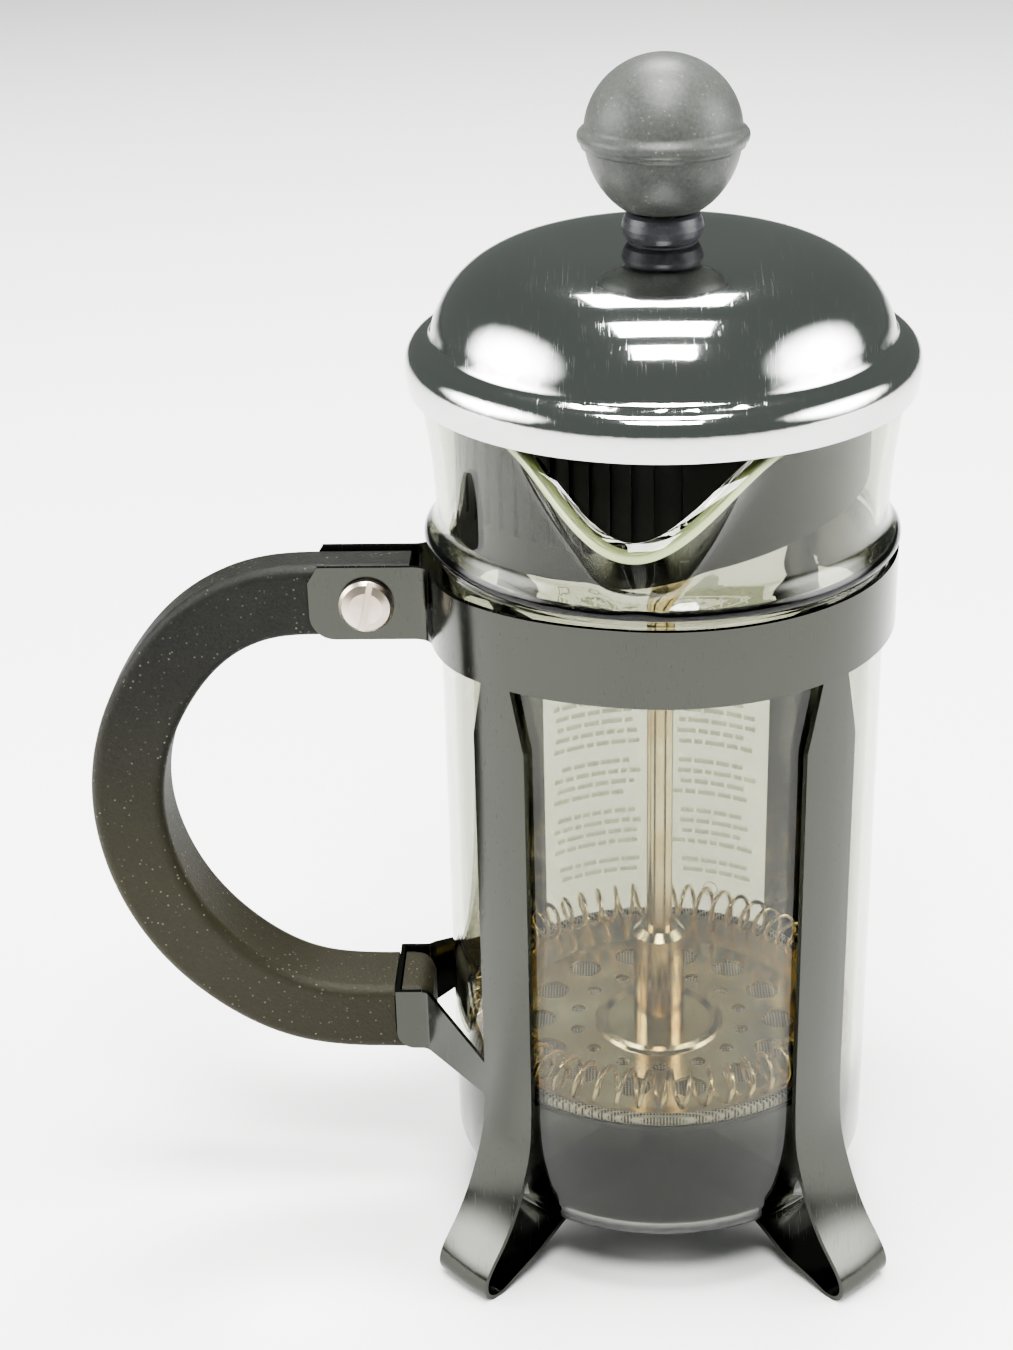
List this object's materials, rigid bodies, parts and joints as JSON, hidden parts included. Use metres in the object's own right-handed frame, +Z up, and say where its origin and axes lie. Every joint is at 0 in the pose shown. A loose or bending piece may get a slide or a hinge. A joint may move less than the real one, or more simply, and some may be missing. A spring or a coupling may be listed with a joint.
{
  "type": "french press",
  "caption": "Small french press: glass beaker in a four-legged chrome frame with a plastic loop handle, a domed lid and a spring-edged filter plunger.",
  "frame": {"origin": "on the beaker's axis at the level the feet stand on", "axes": "+Z up along the beaker's axis; the handle points towards -X and the pouring lip towards -Y"},
  "size_m": [0.1317, 0.085, 0.1948],
  "materials": {
    "chrome": "polished chrome plate",
    "lid_chrome": "mirror-polished sheet with fine scratches",
    "handle_plastic": "matte moulded, fine grain",
    "black_plastic": "satin moulded",
    "steel": "bright stainless, coffee-stained",
    "screw_steel": "turned, slightly tarnished",
    "mesh_steel": "fine woven wire",
    "glass": "clear heat-resistant glass"
  },
  "bodies": {
    "frame": {"collar_band": "chrome", "leg_strip_upper": "chrome", "leg_strip_lower": "chrome", "handle_bracket": "chrome", "handle": "handle_plastic", "handle_screw": "screw_steel", "handle_nut": "screw_steel"},
    "beaker": {"glass_beaker": "glass"},
    "lid_hub": {"guide_bushing": "black_plastic", "bushing_clip": "steel"},
    "lid": {"lid_dome": "lid_chrome", "lid_insert": "black_plastic"},
    "plunger": {"knob": "handle_plastic", "plunger_rod": "steel", "rod_sleeve": "steel", "spiral_plate": "steel", "coil_spring": "steel", "filter_mesh": "mesh_steel", "mesh_rim": "mesh_steel", "cross_plate": "steel", "filter_nut": "steel"}
  },
  "joints": [
    {"name": "beaker_lift", "type": "slide", "parent": "frame", "child": "beaker", "axis": [0, 0, 1], "range_m": [0, 0.13]},
    {"name": "lid_lift", "type": "slide", "parent": "beaker", "child": "lid_hub", "axis": [0, 0, 1], "range_m": [0, 0.15]},
    {"name": "lid_turn", "type": "hinge", "parent": "lid_hub", "child": "lid", "pos_m": [0, 0, 0.15], "axis": [0, 0, 1], "continuous": true},
    {"name": "plunger_slide", "type": "slide", "parent": "lid_hub", "child": "plunger", "axis": [0, 0, 1], "range_m": [0, 0.082]}
  ]
}
